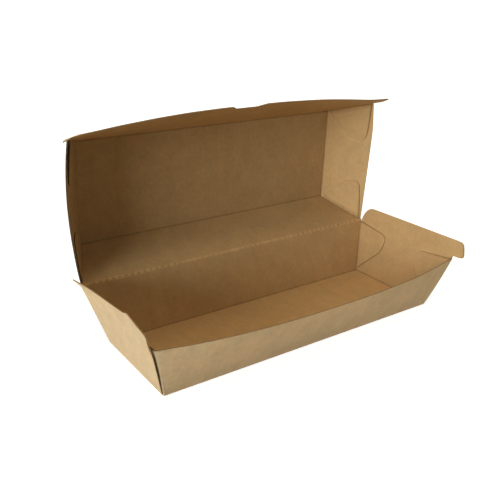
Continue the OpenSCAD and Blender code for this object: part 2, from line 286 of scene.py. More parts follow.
class Blank:
    """One half of the box as a die-cut blank: a panel with four walls, and corner tabs that lie inside the
    end walls. Columns run from the left end wall's free edge over the panel to the right one's, and rows from
    the front wall's to the back's. Each point of the grid lies on the middle of the folded board.

    Each half adds how far its walls stand out (front_out, end_out), the gap beside an end wall (corner_gap),
    how far a tab stands off it (gape), and how much paler painted light makes the board, or below zero how
    much darker painted shade makes it (rub)."""

    WALL_STEPS = 12
    LIP_STEPS = 14
    FOLD_STEPS = 6
    # How strongly shade is painted along a tab's edges
    tab_edge_shade = {"upper": 1.2, "lower": 1.1}
    front_lip = end_ear = end_ear_lean = end_round = 0.0
    front_ears = end_lip = (0.0, 0.0)

    def __init__(self, scene, panel, depth):
        self.board, self.tabs = scene.box_board, scene.box_tabs
        self.panel, self.depth = panel, depth
        self.round = self.board.crease_round
        self.ply = self.board.thickness + self.board.glue_gap
        self.end_lean = math.atan((self.board.rim_length - panel[0]) / 2 / depth)
        self.side_lean = math.atan((self.board.rim_width - panel[1]) / 2 / depth)
        self.end_run = depth / math.cos(self.end_lean)
        self.side_run = depth / math.cos(self.side_lean)
        self.back_run = self.side_run - scene.box_hinge.reach

    def notch(self, share):
        return 0.0

    def lay_out(self, stops, across):
        """Lists the columns and rows. The panel's own are given: stops along it, from 0 in its middle to 1
        at its end, and places across it, from -1 to 1."""

        def wall_runs(top):
            runs = [mix(top, self.round, k / self.WALL_STEPS) for k in range(self.WALL_STEPS)]
            return runs + [self.round + MARK, self.round]

        walls = [(run, 0.0) for run in wall_runs(self.end_run)]
        last = self.LIP_STEPS - 1
        lips = [mix(EAR_START, 1, (1 - math.cos(math.pi * k / last)) / 2) for k in range(last, -1, -1)]
        self.end_places = [(self.end_run, lip) for lip in lips] + walls if self.end_lip[0] else walls
        stops.insert(-1, 1 - MARK / (self.panel[0] / 2))
        main = [-s for s in stops[:0:-1]] + stops
        edge = 1 - MARK / (self.panel[1] / 2 - self.round)
        across = [-1, -edge] + [a for a in across if abs(a) < edge - 0.01] + [edge, 1]
        folds = [("fold", k / self.FOLD_STEPS) for k in range(1, self.FOLD_STEPS)]
        ends = range(len(self.end_places))
        self.columns = [("left", k) for k in ends] + folds + [("main", s) for s in main] + folds
        self.columns += [("right", k) for k in reversed(ends)]
        fronts = [("front", (self.side_run, lip)) for lip in lips] if self.front_lip else []
        self.lip_rows = len(fronts)
        fronts += [("front", (run, 0.0)) for run in wall_runs(self.side_run)]
        backs = reversed(wall_runs(self.back_run))
        self.rows = fronts + folds + [("middle", a) for a in across] + folds
        self.rows += [("back", run) for run in backs]

    def side_point(self, facing, along, run, out):
        s, c = math.sin(self.side_lean), math.cos(self.side_lean)
        return Vector((along, facing * (self.panel[1] / 2 + run * s + out * c), run * c - out * s))

    def end_point(self, side, along, run, out):
        s, c = math.sin(self.end_lean), math.cos(self.end_lean)
        return Vector((side * (self.panel[0] / 2 + run * s + out * c), along, run * c - out * s))

    def half_width(self, z):
        return self.panel[1] / 2 + z * math.tan(self.side_lean)

    def half_length(self, side, facing, z):
        height = z / self.depth
        out = self.end_out(side, facing, height, 0) - self.ply - self.gape(side, facing, height)
        return self.panel[0] / 2 + z * math.tan(self.end_lean) + out / math.cos(self.end_lean)

    def front_point(self, share, row):
        side = -1 if share < 0 else 1
        run = row[0] + row[1] * (self.front_lip - self.notch(share))
        half = self.half_length(side, -1, row[0] * math.cos(self.side_lean)) - self.round
        fade = abs(share) ** 12
        reach = self.front_ears[share >= 0]
        along = share * half + side * reach * ear_shape(row[1]) * fade
        past = max(0, abs(along) - half + EAR_CURL) / (reach + EAR_CURL)
        bend = min(1.0, row[1] / EAR_ROOT) * past**2
        out = self.front_out(share, run / self.side_run, row[1], bend)
        return self.side_point(-1, along, run, out), (along, -self.panel[1] / 2 - run)

    def back_point(self, share, run):
        side = -1 if share < 0 else 1
        along = share * (self.half_length(side, 1, run * math.cos(self.side_lean)) - self.round)
        return self.side_point(1, along, run, 0), (along, self.panel[1] / 2 + run)

    def wall_point(self, side, place, column):
        run, lip = column
        height = run / self.end_run
        half = self.half_width(run * math.cos(self.end_lean)) - self.corner_gap(side, place, height)
        rise = lip * mix(self.end_lip[0], self.end_lip[1], (place + 1) / 2)
        ear = (self.end_ear - self.end_ear_lean * lip) * ear_shape(lip) * max(0, -place) ** 8
        turn = self.end_round * (1 - math.sqrt(1 - lip * lip)) * max(0, place) ** 3
        along = place * half - ear - turn
        out = self.end_out(side, place, height, lip)
        flat = (side * (self.panel[0] / 2 + run + rise), along)
        return self.end_point(side, along, run + rise, out), flat

    def tab_point(self, side, facing, out_share, down_share):
        lean = math.cos(self.end_lean)
        top_run = self.end_run - self.board.corner_gap
        tip = self.half_width(self.depth) - self.tabs.reach
        tip_run = self.end_run - self.tabs.drop
        upper = cornered(
            Vector((self.half_width(top_run * lean) - self.round, top_run)),
            Vector((tip + self.tabs.slant / 2, top_run - self.tabs.slant)),
            Vector((tip, tip_run)),
            out_share,
        )
        lower = cornered(
            Vector((self.half_width(self.tabs.foot) - self.round, self.tabs.foot)),
            Vector((tip, self.tabs.heel)),
            Vector((tip, tip_run - TAB_TIP)),
            out_share,
        )
        spot = upper.lerp(lower, down_share)
        half = self.half_width(spot[1] * lean)
        out = self.end_out(side, facing * spot[0] / half, spot[1] / self.end_run, 0) - self.ply
        out -= self.gape(side, facing, spot[1] / self.end_run) * (1 - smooth(out_share * 1.2))
        reach = self.half_length(side, facing, 0) + half - spot[0]
        flat = (side * reach, facing * (self.panel[1] / 2 + spot[1]))
        return self.end_point(side, facing * spot[0], spot[1], out), flat

    @cache
    def point(self, i, j):
        """Where the grid's point lies on the folded board, and where it lay on the flat blank."""
        kind, value = self.columns[i]
        row, step = self.rows[j]
        if "fold" in (kind, row):
            left = i - round(value * self.FOLD_STEPS) if kind == "fold" else i
            low = j - round(step * self.FOLD_STEPS) if row == "fold" else j
            right, high = left + self.FOLD_STEPS, low + self.FOLD_STEPS
            if kind == row:
                return self.corner(i, j, (left, right), (low, high))
            if kind == "fold":
                return self.crease([self.point(k, j) for k in (left - 1, left, right, right + 1)], value)
            if kind == "main":
                return self.crease([self.point(i, k) for k in (low - 1, low, high, high + 1)], step)
            (a, flat_a), (b, flat_b) = self.point(i, low), self.point(i, high)
            return a.lerp(b, step), tuple(mix(p, q, step) for p, q in zip(flat_a, flat_b))
        if kind == "main":
            if row == "front":
                return self.front_point(value, step)
            if row == "back":
                return self.back_point(value, step)
            flat = (value * (self.panel[0] / 2 - self.round), step * (self.panel[1] / 2 - self.round))
            return Vector((*flat, 0)), flat
        side = -1 if kind == "left" else 1
        if row == "middle":
            return self.wall_point(side, step, self.end_places[value])
        out_share = 1 - value / (len(self.end_places) - 1)
        if row == "front":
            return self.tab_point(side, -1, out_share, self.down_share(j - self.lip_rows))
        return self.tab_point(side, 1, out_share, self.down_share(len(self.rows) - 1 - j))

    def down_share(self, step):
        """Share of the way down a tab at a row, with a narrow first and last step for the light and shade
        painted along its edges.
        """
        last = self.WALL_STEPS + 1
        if step <= 0 or step >= last:
            return float(step > 0)
        return mix(*TAB_MARKS_AT, (step - 1) / (last - 2))

    def tab_edge(self, i, j):
        """Which edge of a tab the grid's point lies on: its upper edge, its lower edge or neither."""
        row = self.rows[j][0]
        if self.columns[i][0] not in ("left", "right") or row not in ("front", "back"):
            return None
        step = j - self.lip_rows if row == "front" else len(self.rows) - 1 - j
        return {0: "upper", self.WALL_STEPS + 1: "lower"}.get(step)

    @staticmethod
    def crease(around, t):
        """A point on the round of a crease between two pairs of points that lead up to it."""
        (far_a, _), (a, flat_a), (b, flat_b), (far_b, _) = around
        met = geometry.intersect_line_line(far_a, a, far_b, b)
        corner = (met[0] + met[1]) / 2 if met else (a + b) / 2
        return curve(a, corner, b, t), tuple(mix(p, q, t) for p, q in zip(flat_a, flat_b))

    def corner(self, i, j, sides, levels):
        """A point on the small web where three walls meet, spanned between the four folds round it."""
        (left, right), (low, high) = sides, levels
        u, v = (i - left) / (right - left), (j - low) / (high - low)

        def one(a, b, part):
            return Vector(self.point(a, b)[part])

        found = []
        for part in (0, 1):
            across = one(left, j, part).lerp(one(right, j, part), u)
            along = one(i, low, part).lerp(one(i, high, part), v)
            ends = one(left, low, part).lerp(one(right, low, part), u).lerp(
                one(left, high, part).lerp(one(right, high, part), u), v
            )
            found.append(across + along - ends)
        return found[0], tuple(found[1])

    def is_board(self, i, j):
        """Whether the cell past column i and row j is board: slots part the tabs from the end walls."""
        if self.columns[i][0] == self.columns[i + 1][0] == "main":
            return True
        if "fold" not in (self.rows[j][0], self.rows[j + 1][0]):
            return j >= self.lip_rows
        return "fold" in (self.columns[i][0], self.columns[i + 1][0])

    def slack(self, point):
        """How free the board is to wave, from 0 at its creases to 1 well away from them."""
        x, y, z = abs(point[0]), abs(point[1]), point[2]
        on_end = self.panel[0] / 2 + z * math.tan(self.end_lean) - x < ON_END + z * ON_END_BOW
        sides = [self.half_width(z) - y]
        if z > ON_WALL:
            sides = [z, self.half_width(z) - y if on_end else self.board.rim_length / 2 - x]
            if point[1] > 0 and not on_end:
                sides.append(self.depth - z)
        else:
            sides.append(self.panel[0] / 2 - x)
        return smooth(min(max(0, s) for s in sides) / STILL)

    def crease_and_shade_share(self, i, j):
        """How strongly the grid's point is marked: in full in the middle of a crease, less at its sides, and
        along a tab's edges. The mark is painted shade on the inner face and a paler tint on the outer.
        """
        share = self.tab_edge_shade.get(self.tab_edge(i, j), 0.0)
        for places, k in ((self.columns, i), (self.rows, j)):
            if places[k][0] == "fold":
                share = max(share, mix(1, CREASE_SIDE, abs(2 * places[k][1] - 1)))
            elif "fold" in [place[0] for place in places[max(0, k - 1) : k + 2]]:
                share = max(share, CREASE_SIDE)
        return share


class TrayBlank(Blank):
    def __init__(self, scene):
        self.tray = scene.box_tray
        super().__init__(scene, (self.tray.floor_length, self.tray.floor_width), self.tray.depth)
        before = (0.07, 0.12, 0.18, 0.26, 0.36, 0.48, 0.6, 0.72, 0.82, 0.9, 0.96)
        across = [mix(-1, KINK_AT, t) for t in before]
        across += [KINK_AT + KINK_LENGTH * k / 4 for k in range(5)]
        across += [mix(KINK_AT + KINK_LENGTH, 1, k / 20) for k in range(1, 20)]
        self.end_lip = (self.tray.lip_front, self.tray.lip_back)
        self.end_ear = self.tray.ear
        self.end_ear_lean = self.tray.ear_lean
        self.end_round = self.tray.back_round
        self.lay_out(spread(26), across)

    def front_out(self, share, height, lip, bend):
        return front_bow(self.tray.front_bow, share, height)

    def corner_gap(self, side, place, height):
        gap, at_rim = self.board.corner_gap, smooth((height - 0.75) / 0.25)
        if side > 0:
            return gap
        if place < 0:
            return gap + self.tray.slot_wide + self.tray.slot_top * at_rim
        return gap * (1 - at_rim)

    def gape(self, side, facing, height):
        return self.tray.left_gape * min(1, height * 2) if side < 0 and facing < 0 else 0

    def rub(self, i, j):
        """Paints shade on the front left tab inside its slot, at the corner fold and on the columns next to
        it.
        """
        kind, value = self.columns[i]
        if i > len(self.columns) / 2 or self.rows[j][0] != "front" or kind == "main":
            return 0.0
        return SLOT_PAINTED_SHADE * ((1 - value) ** 0.7 if kind == "fold" else smooth(value / 6 - 3))

    def end_out(self, side, place, height, lip):
        if side > 0:
            return self.tray.right_swell * max(0, -place) ** 3 * 4 * height * (1 - height)
        return self.tray.left_push * max(0, place) ** 2 * height**BOW_RISE + self.left_lip_out(place, lip)

    def left_lip_out(self, place, lip):
        """How far the left lip stands out: bent in at the kink, flared at both ends, and curled back
        out over its front third."""
        tray = self.tray
        before = max(0, KINK_AT - place) / (1 + KINK_AT)
        past = smooth((place - KINK_AT) / KINK_LENGTH)
        front_edge = mix(-tray.left_dent, tray.left_flare_front, before)
        behind = (place - KINK_AT) / (1 - KINK_AT)
        back_edge = mix(tray.left_kink - tray.left_dent, tray.left_flare_back, behind)
        curl = tray.left_curl * (1 - before**6) * (1 - past)
        ear = tray.left_ear_bend * max(0, -place) ** 8
        lean = (mix(front_edge, back_edge, past) - curl) * lip + curl * lip**4
        return lean + ear * ear_shape(lip) * (1 - lip**3)


class LidBlank(Blank):
    tab_edge_shade = {"upper": 1.3}
    # Painted shade on the left end wall and on the panel, painted light along the tabs' lower edges that
    # hides their shadow line, and how strongly the left creases show
    LEFT_PAINTED_SHADE = -1.0
    PANEL_PAINTED_SHADE = -0.45
    LOWER_EDGE_PAINTED_LIGHT = 0.5
    LEFT_CREASES = 0.4
    # Columns down each side of the notch
    NOTCH_STEPS = 10

    def __init__(self, scene):
        self.lid = scene.box_lid
        super().__init__(scene, (self.lid.panel_length, self.lid.panel_width), self.lid.depth)
        half_rim, half_notch = self.board.rim_length / 2, self.lid.notch_width / 2
        stops = [0.0]
        for k in range(self.NOTCH_STEPS + 1):
            stops.append((half_notch - self.lid.notch_side * (1 - k / self.NOTCH_STEPS)) / half_rim)
        stops += [mix(half_notch / half_rim, 1, s) for s in spread(20)[1:]]
        self.front_lip = self.lid.lip
        self.front_ears = (self.lid.ear_left, self.lid.ear_right)
        self.lay_out(stops, [k / 15 for k in range(-14, 15)])

    def notch(self, share):
        reach = self.lid.notch_width / 2 - abs(share) * self.board.rim_length / 2
        return self.lid.notch_depth * smooth(reach / self.lid.notch_side)

    def front_out(self, share, height, lip, bend):
        lift = (self.lid.lip_lift_left if share < 0 else self.lid.lip_lift_right) * lip * abs(share) ** 10
        droop = self.lid.ear_droop * bend if share < 0 else 0
        return front_bow(self.lid.front_bow, share, height) + lift - droop

    def corner_gap(self, side, place, height):
        return self.lid.front_gap if place < 0 else self.board.corner_gap

    def crease_and_shade_share(self, i, j):
        share = super().crease_and_shade_share(i, j)
        return self.LEFT_CREASES * share if i < len(self.end_places) + self.FOLD_STEPS else share

    # Paints shade on the left end wall and the panel, and light along the tabs' lower edges that hides their
    # shadow line
    def rub(self, i, j):
        if i < len(self.end_places):
            return self.LEFT_PAINTED_SHADE
        if self.tab_edge(i, j) == "lower":
            return self.LOWER_EDGE_PAINTED_LIGHT
        return self.PANEL_PAINTED_SHADE if self.rows[j][0] == "middle" and self.columns[i][0] == "main" else 0.0

    def gape(self, side, facing, height):
        return self.lid.left_gape * height if side < 0 and facing < 0 else 0

    def end_out(self, side, place, height, lip):
        """Peak is where a bow is highest, from -1 at the hinge to 1 at the front."""
        lid = self.lid
        if side < 0:
            hinge_corner, front_corner, bow, peak, shape = lid.left_heel, lid.left_spread, lid.left_bow, 0, 2
        else:
            hinge_corner, front_corner, bow, peak, shape = -lid.right_pinch, 0, lid.right_bow, 0.56, 1.15
        reach = 1 - peak if -place > peak else 1 + peak
        bowed = bow * (1 - (abs(-place - peak) / reach) ** shape)
        return height**BOW_RISE * (mix(hinge_corner, front_corner, (1 - place) / 2) + bowed)


def tray_place(board):
    """Stands the tray's blank on the ground."""
    return Matrix.Translation((0, 0, board.thickness / 2))


def lid_place(lid):
    """Turns the lid's blank over and opens it about the hinge line."""
    _, y, z = HINGE
    return (
        Matrix.Translation((0, y, z))
        @ Matrix.Rotation(-lid.open_angle, 4, "X")
        @ Matrix.Translation((0, -y, lid.depth))
        @ Matrix.Scale(-1, 4, (0, 0, 1))
    )


def link(tree, kind, inputs=(), **settings):
    """Adds a node with its settings and its inputs, which are values or other nodes' outputs."""
    made = tree.nodes.new(kind)
    for key, value in settings.items():
        setattr(made, key, value)
    for key, value in dict(inputs).items():
        if isinstance(value, bpy.types.NodeSocket):
            tree.links.new(value, made.inputs[key])
        else:
            made.inputs[key].default_value = value
    return made


def maths(tree, operation, a, b=0.0):
    return link(tree, "ShaderNodeMath", {0: a, 1: b}, operation=operation).outputs[0]


def vectors(tree, operation, a, b):
    """A sum or product of vectors, or with SCALE a vector times a number."""
    second = "Scale" if operation == "SCALE" else 1
    return link(tree, "ShaderNodeVectorMath", {0: a, second: b}, operation=operation).outputs[0]


def mixed(tree, share, a, b):
    """A colour on the way from a to b."""
    return link(tree, "ShaderNodeMix", {0: share, 6: a, 7: b}, data_type="RGBA").outputs[2]


def ranged(tree, value, low, high, at_low=0.0, at_high=1.0):
    """A value taken from one range to another, and held at its ends."""
    inputs = {"Value": value, "From Min": low, "From Max": high, "To Min": at_low, "To Max": at_high}
    return link(tree, "ShaderNodeMapRange", inputs).outputs[0]


def seen(tree):
    """1 for what the camera sees, in a gloss or through glass too, and 0 for what lights the object."""
    path = link(tree, "ShaderNodeLightPath").outputs
    straight = maths(tree, "MAXIMUM", path["Is Camera Ray"], path["Is Glossy Ray"])
    return maths(tree, "MAXIMUM", straight, path["Is Transmission Ray"])


def new_group(name, inputs, outputs):
    """A shader node group with named inputs and outputs, its inputs to read and its outputs to link to."""
    group = bpy.data.node_groups.new(name, "ShaderNodeTree")
    for in_out, sockets in (("INPUT", inputs), ("OUTPUT", outputs)):
        for label, kind in sockets.items():
            group.interface.new_socket(label, in_out=in_out, socket_type="NodeSocket" + kind)
    return group, group.nodes.new("NodeGroupInput").outputs, group.nodes.new("NodeGroupOutput").inputs


def fibre_group():
    """Kraft fibres: clouds and blotches in the pulp, streaks along the board's grain, loose fibres and
    specks. Scales are for a sheet in millimetres."""
    group, given, result = new_group(
        "Kraft fibres",
        {"Sheet": "Vector", "Colour": "Color", "Shift": "Float", "Mottle": "Float"},
        {"Colour": "Color", "Height": "Float", "Roughness": "Float"},
    )
    shift = link(group, "ShaderNodeCombineXYZ", {i: given["Shift"] for i in range(3)}).outputs[0]
    sheet = vectors(group, "ADD", vectors(group, "SCALE", given["Sheet"], 1 / MM), shift)

    def cloud(scale, detail=2, stretch=(1, 1, 1), turn=0.0, roughness=0.55):
        inputs = {"Vector": sheet, "Scale": stretch, "Rotation": (0, 0, turn)}
        mapped = link(group, "ShaderNodeMapping", inputs).outputs[0]
        inputs = {"Vector": mapped, "Scale": scale, "Detail": detail, "Roughness": roughness}
        return link(group, "ShaderNodeTexNoise", inputs).outputs[0]

    clouds = cloud(0.035)
    blotches = cloud(0.14, stretch=(1, 0.75, 1))
    grain = cloud(0.5, stretch=(1, 0.8, 1))
    streaks = cloud(1.0, detail=3, stretch=(0.3, 0.03, 1))
    fibres = [cloud(1.0, stretch=(2.6, 0.22, 1), turn=turn, roughness=0.6) for turn in (0.25, -0.35)]
    loose = maths(group, "MAXIMUM", *fibres)
    total = 0.0
    for part, strength in ((clouds, 0.22), (blotches, 0.26), (grain, 0.26), (streaks, 0.09), (loose, 0.08)):
        centred = maths(group, "SUBTRACT", part, 0.5)
        total = maths(group, "ADD", maths(group, "MULTIPLY", centred, strength), total)
    spots = link(group, "ShaderNodeTexVoronoi", {"Vector": sheet, "Scale": 0.13, "Randomness": 1.0}).outputs
    dot = ranged(group, spots["Distance"], 0.02, 0.055, 1.0, 0.0)
    pick = link(group, "ShaderNodeSeparateColor", {0: spots["Color"]}).outputs

    def specks(random, above, strength):
        """Dots at the few cells whose random value is high."""
        chosen = maths(group, "MULTIPLY", dot, maths(group, "GREATER_THAN", random, above))
        return maths(group, "MULTIPLY", chosen, strength)

    pale, dark = specks(pick[1], 0.9, 0.16), specks(pick[0], 0.86, 0.3)
    uneven = maths(group, "ADD", total, maths(group, "SUBTRACT", pale, dark))
    level = maths(group, "ADD", maths(group, "MULTIPLY", uneven, given["Mottle"]), 1.0)
    hue = ranged(group, cloud(0.09, detail=3, stretch=(1, 0.7, 1), turn=0.8), 0.35, 0.65)
    warmth = mixed(group, hue, (0.988, 1.008, 1.0, 1), (1.018, 0.988, 0.955, 1))
    toned = vectors(group, "MULTIPLY", given["Colour"], warmth)
    group.links.new(vectors(group, "SCALE", toned, level), result["Colour"])
    raised = maths(group, "MULTIPLY", loose, 0.6)
    relief = maths(group, "ADD", raised, maths(group, "MULTIPLY", blotches, 0.4))
    group.links.new(relief, result["Height"])
    matt = maths(group, "ADD", maths(group, "MULTIPLY", streaks, 0.14), 0.72)
    group.links.new(matt, result["Roughness"])
    return group


def crease_wear_and_shade_group():
    """Crease marks and painted shade: a crease tints the board by its depth, darker inside as painted shade
    of the fold and paler outside where its fibres are stretched, and scuffing, painted light and painted
    shade lighten or darken it, both unevenly.
    """
    inputs = {"Sheet": "Vector", "Colour": "Color", "Tint": "Color"}
    inputs.update(dict.fromkeys(("Crease", "Wear", "Rub"), "Float"))
    group, given, result = new_group("Crease wear", inputs, {"Colour": "Color"})
    broken = link(group, "ShaderNodeTexNoise", {"Vector": given["Sheet"], "Scale": 420.0, "Detail": 3.0})
    uneven = ranged(group, broken.outputs[0], 0.3, 0.7, 0.55)
    deep = maths(group, "MULTIPLY", maths(group, "MULTIPLY", given["Crease"], uneven), given["Wear"])
    tinted = mixed(group, deep, given["Colour"], given["Tint"])
    rubbed_and_painted_shading = maths(group, "ADD", maths(group, "MULTIPLY", given["Rub"], uneven), 1.0)
    level = maths(group, "MAXIMUM", rubbed_and_painted_shading, DARKEST)
    group.links.new(vectors(group, "SCALE", tinted, level), result["Colour"])
    return group


def kraft(board, groups, name, base, tint, shift, wear_and_shade, rub_and_painted_shading_strength, bump):
    """A kraft finish on the flat sheet's own coordinates, so that the grain runs on over every crease."""
    made = bpy.data.materials.new(name)
    made.use_nodes = True
    tree = made.node_tree
    shader = tree.nodes["Principled BSDF"]
    sheet = link(tree, "ShaderNodeUVMap", uv_map="sheet").outputs[0]
    crease, rub = (
        link(tree, "ShaderNodeAttribute", attribute_name=layer).outputs["Fac"] for layer in ("crease", "rub")
    )
    inputs = {"Sheet": sheet, "Colour": (*base, 1), "Shift": shift, "Mottle": board.mottle}
    fibres = link(tree, "ShaderNodeGroup", inputs, node_tree=groups[0]).outputs
    inputs = {
        "Sheet": sheet,
        "Colour": fibres["Colour"],
        "Tint": (*tint, 1),
        "Crease": crease,
        "Wear": wear_and_shade * board.crease_wear_and_shade,
        "Rub": maths(tree, "MULTIPLY", rub, rub_and_painted_shading_strength),
    }
    worn_and_shaded = link(tree, "ShaderNodeGroup", inputs, node_tree=groups[1]).outputs
    tree.links.new(worn_and_shaded["Colour"], shader.inputs["Base Color"])
    tree.links.new(fibres["Roughness"], shader.inputs["Roughness"])
    shader.inputs["Specular IOR Level"].default_value = 0.25
    inputs = {"Strength": bump, "Distance": 0.06 * MM, "Height": fibres["Height"]}
    relief = link(tree, "ShaderNodeBump", inputs)
    tree.links.new(relief.outputs[0], shader.inputs["Normal"])
    return made


def board_materials(board):
    """The board's inner face, outer face and cut edge, in the order of a piece's material slots. A crease is
    darker inside, where its tint is painted shade of the fold, and paler outside, where its fibres are
    stretched."""
    names = ("Kraft inside", "Kraft outside", "Kraft cut edge")
    if names[0] in bpy.data.materials:
        return [bpy.data.materials[name] for name in names]
    groups = fibre_group(), crease_wear_and_shade_group()
    inside, outside, edge = (tuple(c) for c in (board.inside, board.outside, board.edge))
    # Crease tint for the inner face: painted shade of the fold
    darker = tuple(c * share for c, share in zip(inside, (0.46, 0.4, 0.3)))
    paler = tuple(min(1, c * 1.1) for c in outside)
    return [
        kraft(board, groups, names[0], inside, darker, shift=0.0, wear_and_shade=1.0, rub_and_painted_shading_strength=0.32, bump=0.5),
        kraft(board, groups, names[1], outside, paler, shift=311.0, wear_and_shade=0.4, rub_and_painted_shading_strength=0.32, bump=0.4),
        kraft(board, groups, names[2], edge, edge, shift=97.0, wear_and_shade=0.0, rub_and_painted_shading_strength=1.0, bump=0.7),
    ]


def piece(context, name, bm, materials):
    """Makes a bmesh a piece of the scene with its materials."""
    mesh = bpy.data.meshes.new(name)
    bm.to_mesh(mesh)
    bm.free()
    for material in materials:
        mesh.materials.append(material)
    made = bpy.data.objects.new(name, mesh)
    context.scene.collection.objects.link(made)
    return made


def board_grid(wide, deep):
    """A flat grid with the layers that the board's finish reads, and what tells a point's column and row."""
    bm = bmesh.new()
    bmesh.ops.create_grid(bm, x_segments=wide, y_segments=deep, size=0.5)
    crease, rub = (bm.verts.layers.float.new(layer) for layer in ("crease", "rub"))

    def index(co):
        return (co.x + 0.5) * wide, (co.y + 0.5) * deep

    return bm, crease, rub, bm.loops.layers.uv.new("sheet"), index


def soften(mesh, degrees):
    """Shades a mesh smooth, apart from edges sharper than an angle."""
    mesh.shade_smooth()
    mesh.set_sharp_from_angle(angle=math.radians(degrees))


def thicken(context, made, thickness):
    """Gives a sheet the board's thickness, half on either side, with the outer face and the cut edge in the
    material slots after the inner face's."""
    thick = made.modifiers.new("Board", "SOLIDIFY")
    thick.thickness = thickness
    thick.offset = 0
    thick.use_even_offset = True
    thick.use_quality_normals = True
    thick.material_offset = 1
    thick.material_offset_rim = 2
    graph = context.evaluated_depsgraph_get()
    solid = bpy.data.meshes.new_from_object(
        made.evaluated_get(graph), preserve_all_data_layers=True, depsgraph=graph
    )
    made.modifiers.clear()
    made.data = solid
    solid.name = made.name


def fold_up(context, name, blank, place, sheet_of):
    """Folds a blank up from a flat grid, cuts its slots and gives the board its thickness. Sheet_of takes a
    place on the flat half to its place on the whole blank."""
    bm, crease, rub, uv, index = board_grid(len(blank.columns) - 1, len(blank.rows) - 1)
    cut = [f for f in bm.faces if not blank.is_board(*(int(n) for n in index(f.calc_center_median())))]
    bmesh.ops.delete(bm, geom=cut, context="FACES")
    flat = {}
    for v in bm.verts:
        i, j = (round(n) for n in index(v.co))
        v.co, flat[v] = blank.point(i, j)
        v[crease] = blank.crease_and_shade_share(i, j)
        v[rub] = blank.rub(i, j)
    for f in bm.faces:
        for corner in f.loops:
            corner[uv].uv = sheet_of(*flat[corner.vert])
    bm.normal_update()
    for v in bm.verts:
        wave = sum(strength * noise.noise(v.co * scale) for scale, strength in WAVES)
        if v.co.z < ON_PANEL:
            wave = abs(wave)
        v.co += v.normal * wave * blank.slack(v.co) * blank.board.cockle
    bmesh.ops.transform(bm, matrix=place, verts=bm.verts)
    if place.determinant() < 0:
        bmesh.ops.reverse_faces(bm, faces=bm.faces)
    made = piece(context, name, bm, board_materials(blank.board))
    thicken(context, made, blank.board.thickness)
    soften(made.data, 42)
    return made


class BOX_OT_tray(bpy.types.Operator):
    """Fold up the tray from its blank"""

    bl_idname = "takeaway_box.tray"
    bl_label = "Tray"

    def execute(self, context):
        blank = TrayBlank(context.scene)
        tray = fold_up(context, "tray_board", blank, tray_place(blank.board), lambda x, y: (x, y))
        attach(tray, "tray")
        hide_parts("tray")
        return {"FINISHED"}


class BOX_OT_lid(bpy.types.Operator):
    """Fold up the lid from its blank and open it about the hinge"""

    bl_idname = "takeaway_box.lid"
    bl_label = "Lid"

    def execute(self, context):
        blank, tray = LidBlank(context.scene), TrayBlank(context.scene)
        meet = tray.panel[1] / 2 + tray.side_run + blank.panel[1] / 2 + blank.side_run
        lid = fold_up(context, "lid_board", blank, lid_place(blank.lid), lambda x, y: (x, meet - y))
        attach(lid, "lid")
        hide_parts("lid")
        return {"FINISHED"}


def wall_end(blank, place):
    """Where a blank's hinge-side wall stops, and the direction up the wall to there."""
    end, below = (place @ blank.side_point(1, 0, blank.back_run - down, 0) for down in (0, MM))
    return end, (end - below).normalized()


def strip_section(opening, half, axis, tray, lid):
    """The strip's cross-section, from the tray's inner face over the fold to the lid's and back outside.
    Each half of the box is given as its wall's end and the direction along the sheet there."""
    (tray_end, along_tray), (lid_end, along_lid) = tray, lid
    in_tray, in_lid = (along.cross(Vector((-1, 0, 0))) for along in (along_tray, along_lid))
    ridge = []
    for k in range(ARC):
        t = k / (ARC - 1)
        inward = in_tray.lerp(in_lid, t).normalized()
        deep = opening * (1 - abs(2 * t - 1)) ** CUT_SHAPE
        ridge.append(axis + inward * (2 * half) * (1 - CUT_DEPTH * deep))
    fold = axis - (in_tray + in_lid) * 0.02 * MM
    outer = [fold + along_lid * SLIT, fold, fold - along_tray * SLIT]
    first = tray_end + in_tray * half
    over = [first, *ridge, lid_end + in_lid * half]
    return [*over, lid_end - in_lid * half, *outer, tray_end - in_tray * half, first]


def strip_stations(board, hinge):
    """Places along the strip, each with 1 where the perforation is cut open and 0 where it isn't."""
    half_length = board.rim_length / 2 - STRIP_GAP
    cuts = math.floor(board.rim_length / hinge.pitch) - 2
    half_cut = hinge.cut / 2
    found = [(-half_length, 0)]
    for k in range(cuts):
        middle = (k - (cuts - 1) / 2) * hinge.pitch
        left, right = middle - half_cut, middle + half_cut
        found += [(left, 0), (left + hinge.cut_end, 1), (right - hinge.cut_end, 1), (right, 0)]
    return [*found, (half_length, 0)]


def strip_marks(share, x, j, opening, outer_fold):
    """How strongly a point of the strip is marked as creased, and how much paler or darker it is. The
    perforation's cuts carry painted shade, and the lands over the fold are paler from stretched fibres and
    painted light. The marks are stronger towards the strip's ends, and uneven."""
    # Painted shade where the cut is open at the outer fold
    if j == outer_fold:
        return 1.0, -2.4 * opening
    folded = 1 <= j <= ARC
    worn_and_shaded = 0.35 + 0.65 * smooth(abs(share) * 2.4 - 0.5) + 0.9 * noise.noise((x * 70, 0, 0))
    deep = max(0, 1 - abs(j - (ARC + 1) / 2) / 3.5) * folded
    # The lands over the fold are paler, from stretched fibres and painted light
    rubbed_and_painted_shading = (0.95 if folded else 0.15) * (j <= ARC + 1) * (1 + 0.8 * noise.noise((x * 260, 0, 1)))
    return 2.2 * opening * deep * max(0, worn_and_shaded), rubbed_and_painted_shading


